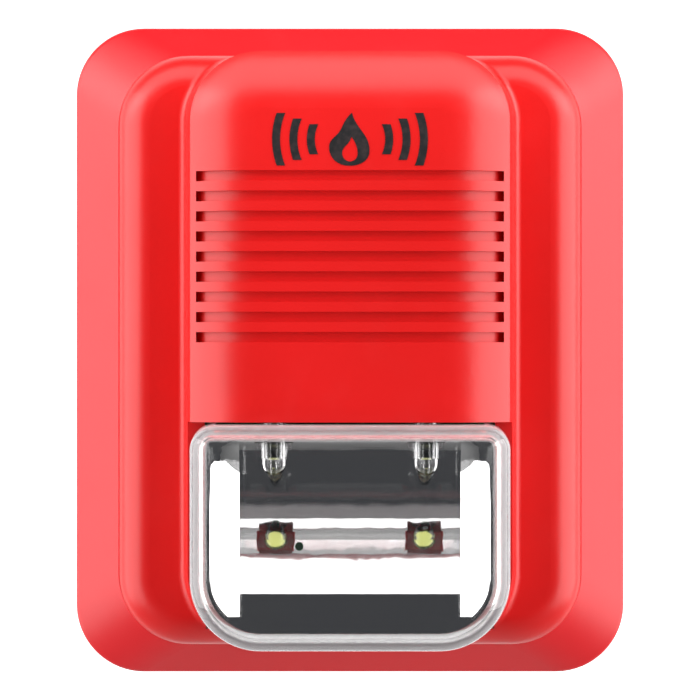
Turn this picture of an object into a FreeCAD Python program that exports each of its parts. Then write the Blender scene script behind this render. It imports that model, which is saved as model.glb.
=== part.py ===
import FreeCAD, Part
import math
import os

# Wall-mounted horn strobe: a base plate stays on the wall, and the head with the horn and
# the strobe plugs onto it.
# Frame: X to the right as seen from the front, Y into the wall, Z up. The origin is on the
# wall plane at the middle of the base plate. A depth is a distance off the wall, so a point
# at depth d has y = -d. All sizes are in millimetres.

# ---- Head outline and the base flange around it
HEAD_WIDTH = 101.7
HEAD_HEIGHT = 129.6
HEAD_CORNER = 15.5
HEAD_DRAFT = 0.5
HEAD_EDGE_ROUND = 7.0
HEAD_FRONT = 23.0
FLANGE_SIDE = 10.15
FLANGE_END = 6.95
BASE_CORNER = 15.0
BASE_EDGE = 1.6
BASE_EDGE_ROUND = 1.4
SEAM_DEPTH = 9.0
SEAM_GAP = 0.3
SEAM_REVEAL = 0.35
WALL = 2.4
BASE_FLOOR = 2.4
BASE_SKIN = 2.2
LIP_WALL = 2.0
LIP_DEPTH = 12.0
LIP_CLEARANCE = 0.35
RIB_THICKNESS = 1.6
RIB_SPACING = 24.0
FLANGE_SLOPE = 20.0

# ---- Wall fixings and cable entry
BOX_SPACING = 60.0
BOX_SLOT_WIDTH = 4.5
BOX_SLOT_LENGTH = 9.0
BOX_PAD_WALL = 2.5
BOX_PAD_HEIGHT = 1.2
ENTRY_RADIUS = 10.0
ENTRY_HEIGHT = -27.0
ENTRY_COLLAR_WALL = 1.6
ENTRY_COLLAR_HEIGHT = 1.6

# ---- Raised column on the head
COLUMN_ROOT_HALF = 36.9
COLUMN_SHOULDER_HALF = 34.3
COLUMN_END_DRAFT = 0.5
COLUMN_FRONT = 42.0
CROWN_WIDTH = 14.2
CROWN_TOP_WIDTH = 12.6
CROWN_DROP = 6.2
CROWN_STEPS = 6
CROWN_FOOT_CORNER = 1.5
COLUMN_TOP_CORNER = 15.0
COLUMN_BOTTOM_CORNER = 16.5
COLUMN_END_INSET = 0.15
ROOT_ROUND = 1.6
PEDESTAL_FRONT = 30.0

# ---- Ribbed band
GROOVE_COUNT = 9
GROOVE_PITCH = 4.31
GROOVE_HEIGHT = 2.2
GROOVE_DEPTH = 1.1
GROOVE_HALF_LENGTH = 33.0
GROOVE_BELOW_PRINT = 0.92

# ---- Sound ports in the underside
PORT_COUNT = 9
PORT_PITCH = 5.2
PORT_WIDTH = 2.4
PORT_BACK = 13.5
PORT_FRONT = 25.0

# ---- Lens
LENS_HALF = 34.35
LENS_HEIGHT = 48.5
LENS_FRONT = 52.0
LENS_WALL = 2.5
LENS_TOP_CORNER = 5.5
LENS_BOTTOM_CORNER = 15.5
LENS_EDGE_ROUND = 4.5
LENS_DRAFT = 0.5
LENS_SEAL = 0.8
LENS_TOP_GAP = 0.2
LENS_BACK_NOTCH = 41.0

# ---- Reflector
MIRROR_WALL = 1.2
MIRROR_FRONT = 46.8
MIRROR_BACK = 27.6
MIRROR_RADIUS = 22.8
MIRROR_CENTRE_DROP = 7.59
MIRROR_TROUGH_HALF = 23.5
MIRROR_WING_WIDTH = 6.2
MIRROR_WING_RISE = 4.0
MIRROR_WING_TURN = 20.0
MIRROR_WING_STEPS = 8
MIRROR_TOP_DROP = 2.6
MIRROR_FLOOR_RISE = 7.7
MIRROR_LAND = 2.6
MIRROR_TOP_CORNER = 3.0
MIRROR_BOTTOM_CORNER = 11.0
MIRROR_LENS_GAP = 0.3
MIRROR_SLOT_HALF = 20.3
MIRROR_SLOT_HEIGHT = 1.8
MIRROR_CLEARANCE = 0.5
MIRROR_LEG_RADIUS = 3.0
MIRROR_LEG_X = 15.0
MIRROR_LEG_RISE = 22.0
MIRROR_HOLE_X = 10.9
MIRROR_HOLE_DROP = 26.5
MIRROR_HOLE_RADIUS = 0.9

# ---- Strobe light-emitting diodes and their board
LED_X = 16.3
LED_DEPTH = 36.0
LED_RADIUS = 2.5
LED_LENGTH = 8.7
LED_BELOW_LENS_TOP = 2.6
LED_LEAD = 0.5
LED_LEAD_SPACING = 2.54
LED_CUP = 2.4
LED_CUP_DROP = 3.2
LED_CUP_HEIGHT = 1.6
LED_PHOSPHOR_RADIUS = 1.1
LED_PHOSPHOR_THICKNESS = 0.4
LED_HOLDER_WIDTH = 7.4
LED_HOLDER_HEIGHT = 7.6
LED_HOLDER_CLEARANCE = 0.1
LED_NOTCH_CLEARANCE = 0.5
LAMP_BOARD_HALF = 20.5
LAMP_BOARD_BACK = 22.5
LAMP_BOARD_FRONT = 38.4
LAMP_LEAD_DROP = 3.0
LAMP_BOARD_STANDOFF = 1.6
LAMP_HOLE_FLOOR = 0.8
LAMP_BOARD_SCREW_X = 9.0
LAMP_BOARD_SCREW_DEPTH = 32.0

# ---- Printed sign on the column's face
PRINT_HEIGHT = 11.3
PRINT_TOP_MARGIN = 1.5
PRINT_FILM = 0.1
PRINT_FLAME_WIDTH = 8.8
PRINT_ARC_COUNT = 3
PRINT_ARC_RADIUS = 9.2
PRINT_ARC_PITCH = 3.7
PRINT_ARC_WIDTH = 1.7
PRINT_ARC_HALF = 3.2
PRINT_ARC_GROWTH = 1.2

# ---- Boards and screws
BOARD_THICKNESS = 1.6
BOARD_BACK = 13.0
BOARD_MARGIN = 4.0
BOARD_CORNER = 6.0
BOSS_RADIUS = 3.6
BOSS_MARGIN = 6.0
SCREW_RADIUS = 1.4
SCREW_LENGTH = 5.2
SCREW_HEAD_RADIUS = 2.8
SCREW_HEAD_HEIGHT = 1.8
SCREW_SLOT_WIDTH = 0.7
SCREW_SLOT_DEPTH = 0.8
PILOT_CLEARANCE = 0.03
HOLE_CLEARANCE = 0.3
PART_GAP = 0.15

# ---- Horn
HORN_RADIUS = 22.0
HORN_ABOVE_MIDDLE = 1.35
HORN_WALL = 1.6
HORN_FRONT = 36.5
HORN_MOUTH_RADIUS = 19.0
HORN_THROAT_RADIUS = 6.0
HORN_THROAT_DEPTH = 23.0
DIAPHRAGM_RADIUS = 17.5
DIAPHRAGM_THICKNESS = 0.3
DIAPHRAGM_DEPTH = 20.0
PIEZO_RADIUS = 12.5
PIEZO_THICKNESS = 0.4
HORN_GASKET_WIDTH = 2.0
HORN_GASKET_THICKNESS = 1.0
HORN_CAP_THICKNESS = 1.4
HORN_CAP_HOLE = 9.0
HORN_SEAL_THICKNESS = 2.0
HORN_SEAL_WIDTH = 2.2
HORN_FOOT_RADIUS = 3.2
HORN_FOOT_SINK = 0.8
PIEZO_LEAD_RADIUS = 0.45
PIEZO_LEAD_X = 4.0

# ---- Plug-in terminal block on the base
TERMINAL_COUNT = 4
TERMINAL_PITCH = 8.0
TERMINAL_BOTTOM = -6.0
TERMINAL_WALL = 1.2
TERMINAL_FRONT = 11.7
CLAMP_WIDTH = 5.4
CLAMP_LENGTH = 6.0
CLAMP_WALL = 0.8
CLAMP_WINDOW = 3.2
CLAMP_TRAVEL = 1.6
CLAMP_LIFT = 0.4
CLAMP_GUIDE_GAP = 0.15
CLAMP_SCREW_RADIUS = 1.45
CLAMP_THREAD_GAP = 0.05
CLAMP_HEAD_RADIUS = 2.3
CLAMP_HEAD_HEIGHT = 1.3
CLAMP_HEAD_GAP = 0.15
WIRE_PORT_WIDTH = 3.6
BAR_THICKNESS = 0.7
BAR_WIDTH = 3.4
FORK_LEAF = 0.5
FORK_LENGTH = 3.0
FORK_WELL = 4.6
BLADE_THICKNESS = 0.8
BLADE_WIDTH = 2.4
BLADE_GAP = 0.12
BLADE_TIP = 5.6
BLADE_TAB = 1.2
TERMINAL_EAR = 7.6
TERMINAL_EAR_HEIGHT = 3.0
TERMINAL_BOSS_HEIGHT = 1.4
EAR_HOLE_FLOOR = 0.8
EAR_SCREW_TIP = 1.2

# ---- Switch, plug and parts on the main board
SWITCH_X = -32.0
SWITCH_Z = 26.0
SWITCH_WIDTH = 6.4
SWITCH_LENGTH = 8.0
SWITCH_HEIGHT = 3.2
SWITCH_PITCH = 2.54
SLIDER_WIDTH = 1.2
SLIDER_LENGTH = 1.4
SLIDER_TRAVEL = 1.6
SLIDER_HEIGHT = 1.8
SLIDER_PROUD = 0.6
SLIDER_GAP = 0.1
PLUG_X = 0.0
PLUG_BELOW_HORN = 27.5
PLUG_WIDTH = 7.5
PLUG_LENGTH = 5.0
PLUG_HEIGHT = 6.0
SOCKET_WALL = 0.8
LEAD_RADIUS = 0.7
LEAD_SPACING = 2.5
LEAD_BEND = 3.0
CAN_RADIUS = 5.0
CAN_HEIGHT = 12.0
CAN_EDGE_ROUND = 0.6
CAN_X = 26.0
COIL_X = -26.0
COIL_RADIUS = 4.6
COIL_CORE_RADIUS = 2.2
COIL_HEIGHT = 9.0
COIL_FLANGE = 1.0
CHIP_X = 12.5
CHIP_LENGTH = 9.4
CHIP_WIDTH = 6.4
CHIP_HEIGHT = 3.3
CHIP_LEGS = 4
CHIP_PITCH = 2.54
LEG_WIDTH = 0.5
TRANSISTOR_X = -14.0
TRANSISTOR_RADIUS = 2.4
TRANSISTOR_HEIGHT = 4.6
RESISTOR_COUNT = 3
RESISTOR_STAGGER = 3.5
RESISTOR_RADIUS = 1.2
RESISTOR_LENGTH = 6.4
RESISTOR_X = 33.0
AXIAL_PITCH = 12.4
AXIAL_BELOW_BOSS = 24.2
DIODE_COUNT = 2
DIODE_X = -33.0
WIRE_RADIUS = 0.3
LEAD_OUT = 2.0

# ---- Places worked out from the sizes above
BASE_WIDTH = HEAD_WIDTH + 2 * FLANGE_SIDE
BASE_HEIGHT = HEAD_HEIGHT + 2 * FLANGE_END
HEAD_HALF = HEAD_WIDTH / 2
HEAD_TOP = HEAD_HEIGHT / 2
HEAD_BACK = SEAM_DEPTH + SEAM_GAP
COLUMN_TOP = HEAD_TOP - COLUMN_END_INSET
LENS_BOTTOM = -COLUMN_TOP + COLUMN_END_DRAFT
LENS_TOP = LENS_BOTTOM + LENS_HEIGHT
COLUMN_FOOT = LENS_TOP + LENS_TOP_GAP
LENS_BACK = PEDESTAL_FRONT + LENS_SEAL
SHOULDER_DEPTH = COLUMN_FRONT - CROWN_DROP
LIP_HALF = HEAD_HALF - WALL - LIP_CLEARANCE
LIP_TOP = HEAD_TOP - WALL - LIP_CLEARANCE
LIP_CORNER = HEAD_CORNER - WALL - LIP_CLEARANCE
BOARD_HALF = LIP_HALF - LIP_WALL - BOARD_MARGIN
BOARD_TOP = LIP_TOP - LIP_WALL - BOARD_MARGIN
BOARD_FRONT = BOARD_BACK + BOARD_THICKNESS
BOSS_X = BOARD_HALF - BOSS_MARGIN
BOSS_Z = BOARD_TOP - BOSS_MARGIN
MIRROR_TOP = LENS_TOP - MIRROR_TOP_DROP
MIRROR_FLOOR = LENS_BOTTOM + MIRROR_FLOOR_RISE
MIRROR_BOTTOM = MIRROR_FLOOR - MIRROR_LAND
MIRROR_HALF = MIRROR_TROUGH_HALF + MIRROR_WING_WIDTH
MIRROR_LEG_Z = MIRROR_BOTTOM + MIRROR_LEG_RISE
MIRROR_CURVE_FORWARD = MIRROR_BACK + MIRROR_RADIUS - MIRROR_FRONT
MIRROR_CURVE_RISE = MIRROR_TOP - MIRROR_CENTRE_DROP - MIRROR_FLOOR
MIRROR_REACH = math.hypot(MIRROR_CURVE_FORWARD, MIRROR_CURVE_RISE)
MIRROR_RAMP = math.asin(MIRROR_RADIUS / MIRROR_REACH) - math.atan2(MIRROR_CURVE_FORWARD, MIRROR_CURVE_RISE)
HORN_Z = (LENS_TOP + COLUMN_TOP) / 2 + HORN_ABOVE_MIDDLE
HORN_CAN_RADIUS = DIAPHRAGM_RADIUS + PART_GAP + HORN_WALL
HORN_FOOT_X = HORN_CAN_RADIUS + HORN_FOOT_RADIUS - HORN_FOOT_SINK
PLUG_Z = HORN_Z - PLUG_BELOW_HORN
AXIAL_Z = BOSS_Z - AXIAL_BELOW_BOSS
LED_BASE = LENS_TOP - LED_BELOW_LENS_TOP
LAMP_BOARD_LOW = COLUMN_FOOT + WALL + LAMP_BOARD_STANDOFF
LAMP_BOARD_HIGH = LAMP_BOARD_LOW + BOARD_THICKNESS
PRINT_LOW = COLUMN_TOP - CROWN_TOP_WIDTH - PRINT_TOP_MARGIN - PRINT_HEIGHT
GROOVE_TOP = PRINT_LOW - GROOVE_BELOW_PRINT
GROOVE_LOW = GROOVE_TOP - GROOVE_HEIGHT - (GROOVE_COUNT - 1) * GROOVE_PITCH
CHIP_Z = MIRROR_BOTTOM + CHIP_WIDTH
LAMP_LEAD_DEPTH = LAMP_BOARD_BACK + LAMP_LEAD_DROP
CLAMP_HEIGHT = 2 * CLAMP_WALL + CLAMP_WINDOW
CLAMP_BACK = BASE_FLOOR + CLAMP_LIFT
CLAMP_CEILING = CLAMP_BACK + CLAMP_HEIGHT + CLAMP_TRAVEL + CLAMP_GUIDE_GAP
CLAMP_WELL_LENGTH = CLAMP_LENGTH + 2 * CLAMP_GUIDE_GAP
CLAMP_WELL_WIDTH = CLAMP_WIDTH + 2 * CLAMP_GUIDE_GAP
CLAMP_Z = TERMINAL_BOTTOM + TERMINAL_WALL + CLAMP_WELL_LENGTH / 2
CLAMP_HEAD_BACK = TERMINAL_FRONT - CLAMP_HEAD_GAP - CLAMP_HEAD_HEIGHT
BAR_BACK = CLAMP_BACK + CLAMP_WALL + CLAMP_WINDOW - BAR_THICKNESS - CLAMP_GUIDE_GAP
FORK_Z = TERMINAL_BOTTOM + 2 * TERMINAL_WALL + CLAMP_WELL_LENGTH + FORK_WELL / 2
TERMINAL_TOP = FORK_Z + FORK_WELL / 2 + TERMINAL_WALL
TERMINAL_HALF = TERMINAL_COUNT * TERMINAL_PITCH / 2 + TERMINAL_WALL / 2
TERMINAL_X = [(i - (TERMINAL_COUNT - 1) / 2) * TERMINAL_PITCH for i in range(TERMINAL_COUNT)]
TERMINAL_EAR_X = TERMINAL_HALF + TERMINAL_EAR / 2
TERMINAL_EAR_Z = TERMINAL_TOP - TERMINAL_EAR / 2
OVERSHOOT = 1.0
FAR = 200.0

OUT = FreeCAD.Vector(0, -1, 0)
UP = FreeCAD.Vector(0, 0, 1)
RIGHT = FreeCAD.Vector(1, 0, 0)


# ---- Shared shapes
def at(x, depth, z):
    """A point given by its distance off the wall."""
    return FreeCAD.Vector(x, -depth, z)


def block(x_range, depth_range, z_range):
    """A box between two corners."""
    size_x = x_range[1] - x_range[0]
    size_y = depth_range[1] - depth_range[0]
    size_z = z_range[1] - z_range[0]
    return Part.makeBox(size_x, size_y, size_z, at(x_range[0], depth_range[1], z_range[0]))


def centred(x, z, width, length, depth_range):
    """A box centred on (x, z), width along X and length along Z."""
    return block((x - width / 2, x + width / 2), depth_range, (z - length / 2, z + length / 2))


def peg(x, z, radius, depth_range):
    """A cylinder that points off the wall."""
    return Part.makeCylinder(radius, depth_range[1] - depth_range[0], at(x, depth_range[0], z), OUT)


def outline(half, bottom, top, bottom_corner, top_corner, depth):
    """A rectangle with rounded corners, parallel to the wall."""
    diagonal = 1 - math.sqrt(0.5)
    low = bottom_corner * diagonal
    high = top_corner * diagonal
    p = [
        (-half + bottom_corner, bottom), (half - bottom_corner, bottom),
        (half, bottom + bottom_corner), (half, top - top_corner),
        (half - top_corner, top), (-half + top_corner, top),
        (-half, top - top_corner), (-half, bottom + bottom_corner),
    ]
    bends = [(half - low, bottom + low), (half - high, top - high),
             (-half + high, top - high), (-half + low, bottom + low)]
    edges = []
    for side in range(4):
        start, corner, end = p[2 * side], p[2 * side + 1], p[(2 * side + 2) % 8]
        places = [at(x, depth, z) for x, z in (start, corner, bends[side], end)]
        edges.append(Part.LineSegment(places[0], places[1]).toShape())
        edges.append(Part.Arc(places[1], places[2], places[3]).toShape())
    return Part.Wire(edges)


def even(half, top, corner, depth):
    """An outline centred on the origin with four equal corners."""
    return outline(half, -top, top, corner, corner, depth)


def plate(wire, thickness):
    """A solid that grows off the wall from a flat outline."""
    return Part.Face(wire).extrude(OUT * thickness)


def flat_edges(solid, depth):
    """The edges that lie wholly at one depth."""
    near = 0.01
    boxes = [(edge, edge.BoundBox) for edge in solid.Edges]
    return [edge for edge, box in boxes if abs(box.YMin + depth) < near and abs(box.YMax + depth) < near]


def turned(points, x, z):
    """A solid of revolution about an axis off the wall, from (radius, depth) points."""
    corners = [at(x + radius, depth, z) for radius, depth in points]
    wire = Part.makePolygon(corners + corners[:1])
    return Part.Face(wire).revolve(at(x, 0, z), OUT, 360)


def wire_run(points, radius, bend):
    """A round wire of straight runs joined by tangent arcs."""
    edges = []
    start = points[0]
    for before, corner, after in zip(points, points[1:], points[2:]):
        back = (before - corner).normalize()
        ahead = (after - corner).normalize()
        half_angle = back.getAngle(ahead) / 2
        reach = bend / math.tan(half_angle)
        enter = corner + back * reach
        leave = corner + ahead * reach
        centre = corner + (back + ahead).normalize() * (bend / math.sin(half_angle))
        middle = centre + (corner - centre).normalize() * bend
        edges.append(Part.LineSegment(start, enter).toShape())
        edges.append(Part.Arc(enter, middle, leave).toShape())
        start = leave
    edges.append(Part.LineSegment(start, points[-1]).toShape())
    path = Part.Wire(edges)
    section = Part.Wire([Part.Circle(points[0], points[1] - points[0], radius).toShape()])
    return path.makePipeShell([section], True, False)


def screw(x, z, head_back, length, radius, head_radius, head_height):
    """A slotted screw whose head faces the wall and whose shank points off it."""
    head = peg(x, z, head_radius, (head_back, head_back + head_height))
    shank = peg(x, z, radius, (head_back + head_height, head_back + head_height + length))
    slot = centred(x, z, 2 * head_radius, SCREW_SLOT_WIDTH, (head_back, head_back + SCREW_SLOT_DEPTH))
    return head.fuse(shank).cut(slot)


def board_screw(x, z):
    """A screw driven from the back through the main board."""
    head_back = BOARD_BACK - SCREW_HEAD_HEIGHT
    return screw(x, z, head_back, BOARD_THICKNESS + SCREW_LENGTH, SCREW_RADIUS, SCREW_HEAD_RADIUS,
                 SCREW_HEAD_HEIGHT)


def pilot(x, z, back):
    """The hole that a board screw's thread bites into."""
    return peg(x, z, SCREW_RADIUS + PILOT_CLEARANCE, (back - OVERSHOOT, back + SCREW_LENGTH + HOLE_CLEARANCE))


# ---- Base plate
def base_skirt(inset, front):
    """The skirt that spreads from the head to the wall, or its hollow when inset."""
    half = BASE_WIDTH / 2 - inset
    top = BASE_HEIGHT / 2 - inset
    corner = BASE_CORNER - inset
    edge = BASE_EDGE - inset * math.tan(math.radians(FLANGE_SLOPE))
    ledge_half = HEAD_HALF + SEAM_REVEAL - inset
    ledge_top = HEAD_TOP + SEAM_REVEAL - inset
    ledge_corner = HEAD_CORNER + SEAM_REVEAL - inset
    upright = plate(even(half, top, corner, 0), edge)
    ledge = even(ledge_half, ledge_top, ledge_corner, front)
    slope = Part.makeLoft([even(half, top, corner, edge), ledge], True, True)
    return upright.fuse(slope)


def base_ribs(hollow):
    """Stiffening ribs that bridge the hollow behind the flange."""
    bars = []
    for step in (-2, -1, 0, 1, 2):
        x = step * RIB_SPACING * HEAD_HALF / HEAD_TOP
        bars.append(centred(x, 0, RIB_THICKNESS, 2 * FAR, (0, SEAM_DEPTH)))
        bars.append(centred(0, step * RIB_SPACING, 2 * FAR, RIB_THICKNESS, (0, SEAM_DEPTH)))
    return [hollow.common(bar) for bar in bars]


def obround(x, width, length, depth_range):
    """A slotted hole that runs along X."""
    reach = (length - width) / 2
    middle = centred(x, 0, 2 * reach, width, depth_range)
    ends = [peg(x + side * reach, 0, width / 2, depth_range) for side in (-1, 1)]
    return middle.fuse(ends)


def base_plate():
    skirt = base_skirt(0, SEAM_DEPTH)
    skirt = skirt.removeSplitter()
    skirt = skirt.makeFillet(BASE_EDGE_ROUND, flat_edges(skirt, BASE_EDGE))
    core = plate(even(LIP_HALF, LIP_TOP, LIP_CORNER, 0), LIP_DEPTH)
    hollow = base_skirt(BASE_SKIN, SEAM_DEPTH - BASE_SKIN).cut(core)
    room = even(LIP_HALF - LIP_WALL, LIP_TOP - LIP_WALL, LIP_CORNER - LIP_WALL, BASE_FLOOR)
    pocket = plate(room, LIP_DEPTH)
    body = skirt.fuse(core).cut(hollow).cut(pocket)
    body = body.fuse(base_ribs(hollow))
    through = (-OVERSHOOT, BASE_FLOOR + BOX_PAD_HEIGHT + OVERSHOOT)
    floor_top = BASE_FLOOR + BOX_PAD_HEIGHT
    for side in (-1, 1):
        x = side * BOX_SPACING / 2
        pad = obround(x, BOX_SLOT_WIDTH + 2 * BOX_PAD_WALL, BOX_SLOT_LENGTH + 2 * BOX_PAD_WALL,
                      (BASE_FLOOR, floor_top))
        body = body.fuse(pad).cut(obround(x, BOX_SLOT_WIDTH, BOX_SLOT_LENGTH, through))
        ear_boss = peg(side * TERMINAL_EAR_X, TERMINAL_EAR_Z, BOSS_RADIUS,
                       (BASE_FLOOR, BASE_FLOOR + TERMINAL_BOSS_HEIGHT))
        ear_hole = peg(side * TERMINAL_EAR_X, TERMINAL_EAR_Z, SCREW_RADIUS + PILOT_CLEARANCE,
                       (EAR_HOLE_FLOOR, BASE_FLOOR + TERMINAL_BOSS_HEIGHT + OVERSHOOT))
        body = body.fuse(ear_boss).cut(ear_hole)
    collar = peg(0, ENTRY_HEIGHT, ENTRY_RADIUS + ENTRY_COLLAR_WALL, (0, BASE_FLOOR + ENTRY_COLLAR_HEIGHT))
    entry = peg(0, ENTRY_HEIGHT, ENTRY_RADIUS, (-OVERSHOOT, BASE_FLOOR + ENTRY_COLLAR_HEIGHT + OVERSHOOT))
    return body.fuse(collar).cut(entry)


# ---- Terminal block on the base
def terminal_housing():
    body = block((-TERMINAL_HALF, TERMINAL_HALF), (BASE_FLOOR, TERMINAL_FRONT),
                 (TERMINAL_BOTTOM, TERMINAL_TOP))
    ear_back = BASE_FLOOR + TERMINAL_BOSS_HEIGHT
    for side in (-1, 1):
        ear = centred(side * TERMINAL_EAR_X, TERMINAL_EAR_Z, TERMINAL_EAR, TERMINAL_EAR,
                      (ear_back, ear_back + TERMINAL_EAR_HEIGHT))
        hole = peg(side * TERMINAL_EAR_X, TERMINAL_EAR_Z, SCREW_RADIUS + HOLE_CLEARANCE, (0, TERMINAL_FRONT))
        body = body.fuse(ear.cut(hole))
    for x in TERMINAL_X:
        well = centred(x, CLAMP_Z, CLAMP_WELL_WIDTH, CLAMP_WELL_LENGTH, (BASE_FLOOR, CLAMP_CEILING))
        shank = peg(x, CLAMP_Z, CLAMP_SCREW_RADIUS + HOLE_CLEARANCE, (CLAMP_CEILING, TERMINAL_FRONT))
        head = peg(x, CLAMP_Z, CLAMP_HEAD_RADIUS + PART_GAP,
                   (CLAMP_HEAD_BACK - PART_GAP, TERMINAL_FRONT + OVERSHOOT))
        port = centred(x, TERMINAL_BOTTOM, WIRE_PORT_WIDTH, 2 * TERMINAL_WALL,
                       (CLAMP_BACK + CLAMP_WALL, BAR_BACK - PART_GAP))
        fork = centred(x, FORK_Z, FORK_WELL, FORK_WELL, (BASE_FLOOR, TERMINAL_FRONT + OVERSHOOT))
        bar = block((x - BAR_WIDTH / 2 - PART_GAP, x + BAR_WIDTH / 2 + PART_GAP),
                    (BAR_BACK - PART_GAP, BAR_BACK + BAR_THICKNESS + PART_GAP), (CLAMP_Z, FORK_Z))
        body = body.cut(well.fuse([shank, head, port, fork, bar]))
    return body


def terminal_block_screws():
    head_back = BASE_FLOOR + TERMINAL_BOSS_HEIGHT + TERMINAL_EAR_HEIGHT
    solids = []
    for side in (-1, 1):
        x = side * TERMINAL_EAR_X
        shank = peg(x, TERMINAL_EAR_Z, SCREW_RADIUS, (EAR_SCREW_TIP, head_back))
        head = peg(x, TERMINAL_EAR_Z, SCREW_HEAD_RADIUS, (head_back, head_back + SCREW_HEAD_HEIGHT))
        slot = centred(x, TERMINAL_EAR_Z, 2 * SCREW_HEAD_RADIUS, SCREW_SLOT_WIDTH,
                       (head_back + SCREW_HEAD_HEIGHT - SCREW_SLOT_DEPTH, head_back + SCREW_HEAD_HEIGHT))
        solids.append(shank.fuse(head).cut(slot))
    return Part.makeCompound(solids)


def contact_clips():
    """Bus bars that run from each wire clamp to a fork, one per terminal."""
    clips = []
    gap = BLADE_THICKNESS / 2 + BLADE_GAP
    low = CLAMP_Z - CLAMP_LENGTH / 2
    high = FORK_Z + FORK_LENGTH / 2
    back = BASE_FLOOR + PART_GAP
    fork_low = FORK_Z - FORK_LENGTH / 2
    for x in TERMINAL_X:
        bar = block((x - BAR_WIDTH / 2, x + BAR_WIDTH / 2), (BAR_BACK, BAR_BACK + BAR_THICKNESS),
                    (low, fork_low))
        reach = gap + FORK_LEAF
        saddle = block((x - reach, x + reach), (back, back + FORK_LEAF), (fork_low, high))
        leaves = []
        for side in (-1, 1):
            ends = sorted((x + side * gap, x + side * reach))
            leaves.append(block(ends, (back, TERMINAL_FRONT - OVERSHOOT), (fork_low, high)))
        clips.append(bar.fuse([saddle] + leaves))
    return Part.makeCompound(clips)


def wire_clamp(x):
    """The cage that its screw draws off the wall to grip a wire against the bus bar."""
    cage = centred(x, CLAMP_Z, CLAMP_WIDTH, CLAMP_LENGTH, (CLAMP_BACK, CLAMP_BACK + CLAMP_HEIGHT))
    window = centred(x, CLAMP_Z, CLAMP_WIDTH - 2 * CLAMP_WALL, CLAMP_LENGTH + OVERSHOOT,
                     (CLAMP_BACK + CLAMP_WALL, CLAMP_BACK + CLAMP_WALL + CLAMP_WINDOW))
    thread = peg(x, CLAMP_Z, CLAMP_SCREW_RADIUS + CLAMP_THREAD_GAP,
                 (CLAMP_BACK + CLAMP_HEIGHT - CLAMP_WALL - PART_GAP, CLAMP_BACK + CLAMP_HEIGHT + OVERSHOOT))
    return cage.cut(window).cut(thread)


def terminal_screw(x):
    tip = BAR_BACK + BAR_THICKNESS + PART_GAP
    head_front = CLAMP_HEAD_BACK + CLAMP_HEAD_HEIGHT
    shank = peg(x, CLAMP_Z, CLAMP_SCREW_RADIUS, (tip, CLAMP_HEAD_BACK))
    head = peg(x, CLAMP_Z, CLAMP_HEAD_RADIUS, (CLAMP_HEAD_BACK, head_front))
    slot = centred(x, CLAMP_Z, 2 * CLAMP_HEAD_RADIUS, SCREW_SLOT_WIDTH,
                   (head_front - SCREW_SLOT_DEPTH, head_front))
    return shank.fuse(head).cut(slot)


# ---- Head shell
def column_crown(inset):
    """The rolled front of the column, from its shoulder to its flat face."""
    radius = (CROWN_WIDTH ** 2 + CROWN_DROP ** 2) / (2 * CROWN_DROP)
    full = math.asin(CROWN_WIDTH / radius)
    sections = []
    for step in range(CROWN_STEPS + 1):
        angle = full * (1 - step / CROWN_STEPS)
        rolled = CROWN_WIDTH - radius * math.sin(angle)
        share = rolled / CROWN_WIDTH
        depth = COLUMN_FRONT - inset - radius * (1 - math.cos(angle))
        corner = (COLUMN_TOP_CORNER - inset) * (1 - share) + CROWN_FOOT_CORNER * share
        half = COLUMN_SHOULDER_HALF - inset - rolled
        top = COLUMN_TOP - COLUMN_END_DRAFT - inset - share * CROWN_TOP_WIDTH
        sections.append(outline(half, -COLUMN_TOP + inset, top, CROWN_FOOT_CORNER, corner, depth))
    return Part.makeLoft(sections, True, False)


def column_solid(inset):
    """The column, or its hollow when inset by the wall."""
    root = outline(COLUMN_ROOT_HALF - inset, -COLUMN_TOP + inset, COLUMN_TOP - inset,
                   COLUMN_BOTTOM_CORNER - inset, COLUMN_TOP_CORNER - inset, HEAD_FRONT - HEAD_EDGE_ROUND)
    shoulder = outline(COLUMN_SHOULDER_HALF - inset, -COLUMN_TOP + COLUMN_END_DRAFT + inset,
                       COLUMN_TOP - COLUMN_END_DRAFT - inset, COLUMN_BOTTOM_CORNER - inset,
                       COLUMN_TOP_CORNER - inset, SHOULDER_DEPTH - inset)
    wall = Part.makeLoft([root, shoulder], True, True)
    crown = column_crown(inset)
    below = block((-FAR, FAR), (0, FAR), (-FAR, COLUMN_FOOT + inset))
    return wall.fuse(crown.cut(below))


def head_tier(inset):
    """The broad lower step of the head, or its hollow when inset."""
    half = HEAD_HALF - inset
    top = HEAD_TOP - inset
    corner = HEAD_CORNER - inset
    front = HEAD_FRONT - inset
    back = even(half, top, corner, HEAD_BACK)
    face = even(half - HEAD_DRAFT, top - HEAD_DRAFT, corner - HEAD_DRAFT, front)
    tier = Part.makeLoft([back, face], True, True)
    return tier.makeFillet(HEAD_EDGE_ROUND - inset, flat_edges(tier, front))


def root_edges(solid):
    """The two upright edges where the column's sides meet the lower step."""
    edges = flat_edges(solid, HEAD_FRONT)
    return [edge for edge in edges if edge.BoundBox.XLength < ROOT_ROUND and edge.BoundBox.ZLength > HEAD_TOP]


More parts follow.
